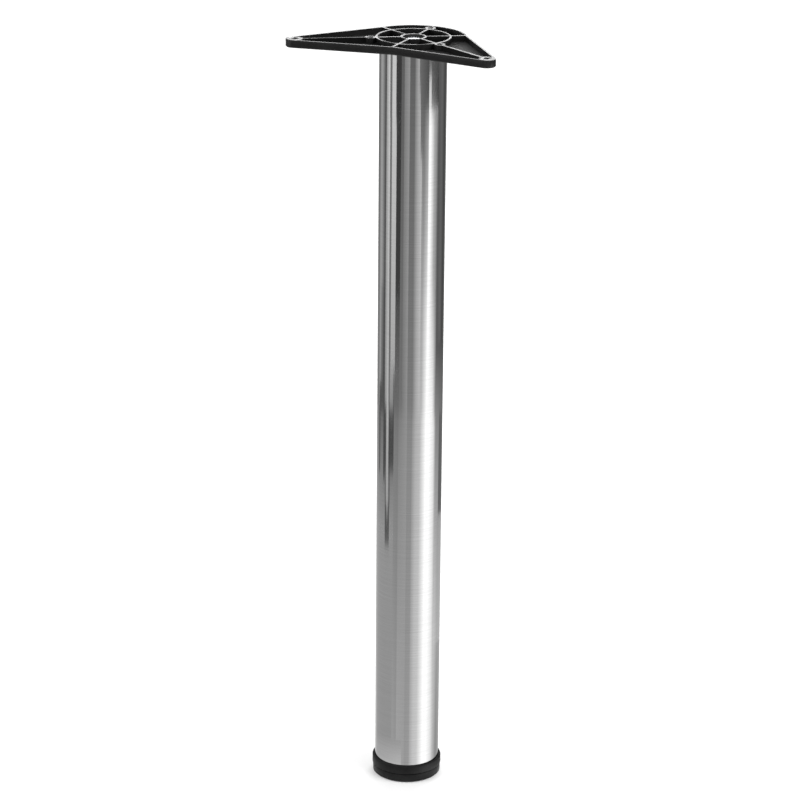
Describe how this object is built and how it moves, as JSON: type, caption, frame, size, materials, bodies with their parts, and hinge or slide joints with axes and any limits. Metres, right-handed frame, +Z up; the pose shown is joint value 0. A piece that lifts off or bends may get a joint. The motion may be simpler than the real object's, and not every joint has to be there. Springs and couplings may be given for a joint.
{
  "type": "height adjustable table leg",
  "caption": "Round brushed steel table leg with a ribbed three-cornered mounting plate on top and a screw foot below that sets the height.",
  "frame": {"origin": "on the floor under the tube's axis, with the foot screwed home", "axes": "+Z up along the tube; the plate's two arms spread to +X and -X and reach towards -Y"},
  "size_m": [0.197, 0.1074, 0.71],
  "materials": {
    "plate_plastic": "black moulded plastic, fine grain",
    "foot_plastic": "black moulded plastic, satin",
    "glide_plastic": "dark grey polyethylene",
    "tube_steel": "brushed round the tube",
    "zinc_steel": "bright zinc plate",
    "pressed_steel": "bare pressed sheet"
  },
  "bodies": {
    "leg": {"mounting_plate": "plate_plastic", "plate_bolt": "zinc_steel", "spring_washer": "zinc_steel", "flat_washer": "zinc_steel", "tube": "tube_steel", "tube_bridge": "pressed_steel", "bridge_nut": "zinc_steel", "end_cap": "foot_plastic", "captive_nut": "zinc_steel"},
    "glide": {"glide_pad": "glide_plastic"},
    "foot": {"adjuster_foot": "foot_plastic", "foot_stud": "zinc_steel"}
  },
  "joints": [
    {"name": "foot_travel", "type": "slide", "parent": "leg", "child": "glide", "axis": [0, 0, -1], "range_m": [0, 0.02]},
    {"name": "foot_turn", "type": "hinge", "parent": "glide", "child": "foot", "pos_m": [0, 0, 0], "axis": [0, 0, -1], "range_deg": [0, 4800]}
  ],
  "couplings": [
    {"joint": "foot_travel", "follows": "foot_turn", "m_per_rad": 0.00023873}
  ]
}
